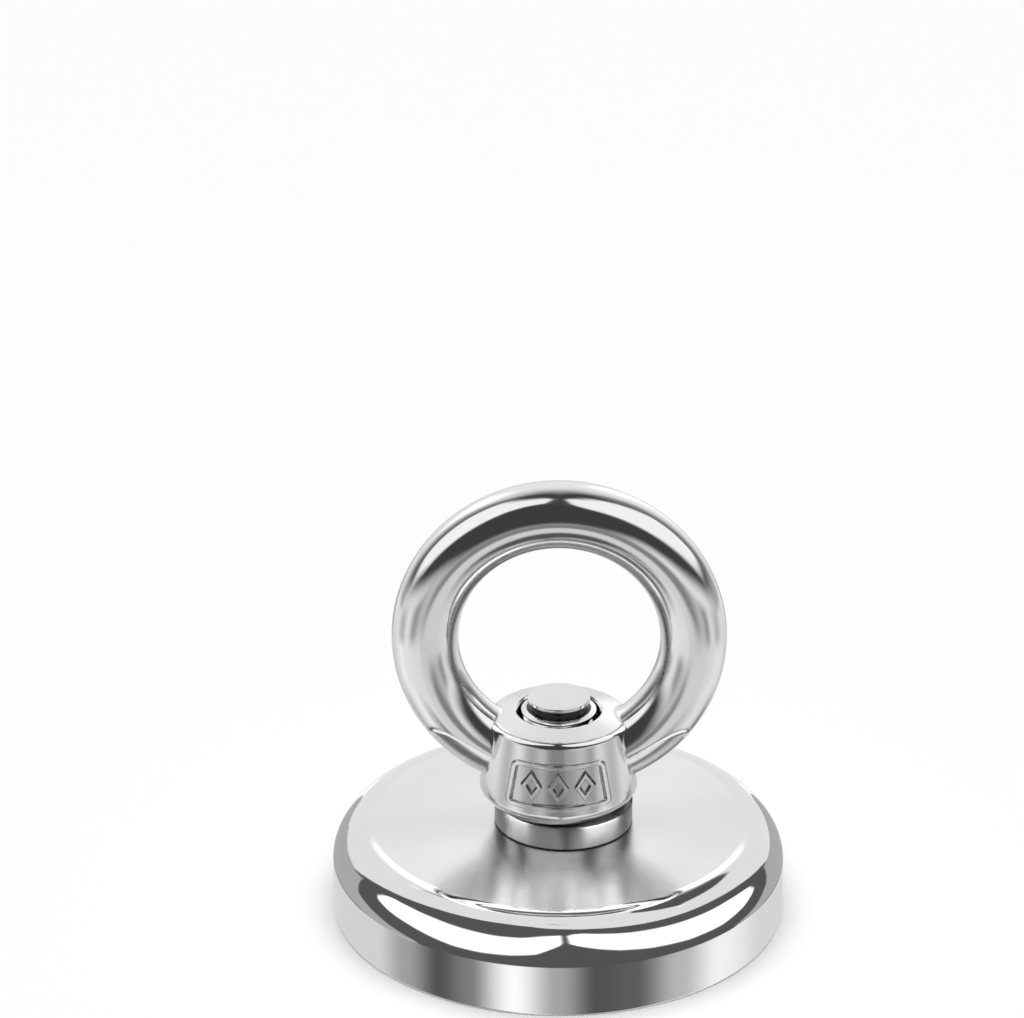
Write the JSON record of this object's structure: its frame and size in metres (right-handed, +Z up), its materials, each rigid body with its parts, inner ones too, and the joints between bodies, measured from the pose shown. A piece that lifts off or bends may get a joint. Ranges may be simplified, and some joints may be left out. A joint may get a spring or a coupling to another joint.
{
  "type": "magnet fishing magnet",
  "caption": "Round pot magnet with a ring magnet in its face, a countersunk socket screw and an eye nut that screws down onto a split washer.",
  "frame": {"origin": "centre of the pull face, on the plane of the pot's rim", "axes": "+Z up the screw to the eye; the ring of the eye lies in the XZ plane, its hole along Y; the raised panel faces -Y"},
  "size_m": [0.06, 0.06, 0.0608],
  "materials": {
    "plated_steel": "bright nickel plating, satin on the turned top face",
    "magnet_plating": "nickel plating, slightly dull",
    "resin": "cast epoxy, semi-gloss",
    "adhesive": "cured adhesive film",
    "stainless": "polished stainless steel",
    "screw_steel": "bright stainless screw",
    "spring_steel": "bright rolled spring washer"
  },
  "bodies": {
    "magnet_base": {"magnet_pot": "plated_steel", "ring_magnet": "magnet_plating", "gap_resin": "resin", "bond_film": "adhesive", "countersunk_screw": "screw_steel"},
    "washer": {"spring_washer": "spring_steel"},
    "eye": {"eye_nut": "stainless"}
  },
  "joints": [
    {"name": "eye_turn", "type": "hinge", "parent": "magnet_base", "child": "washer", "pos_m": [0, 0, 0.0124], "axis": [0, 0, 1], "range_deg": [0, 2970]},
    {"name": "eye_travel", "type": "slide", "parent": "washer", "child": "eye", "axis": [0, 0, 1], "range_m": [0, 0.0124]}
  ],
  "couplings": [
    {"joint": "eye_travel", "follows": "eye_turn", "m_per_rad": 0.00023873}
  ]
}
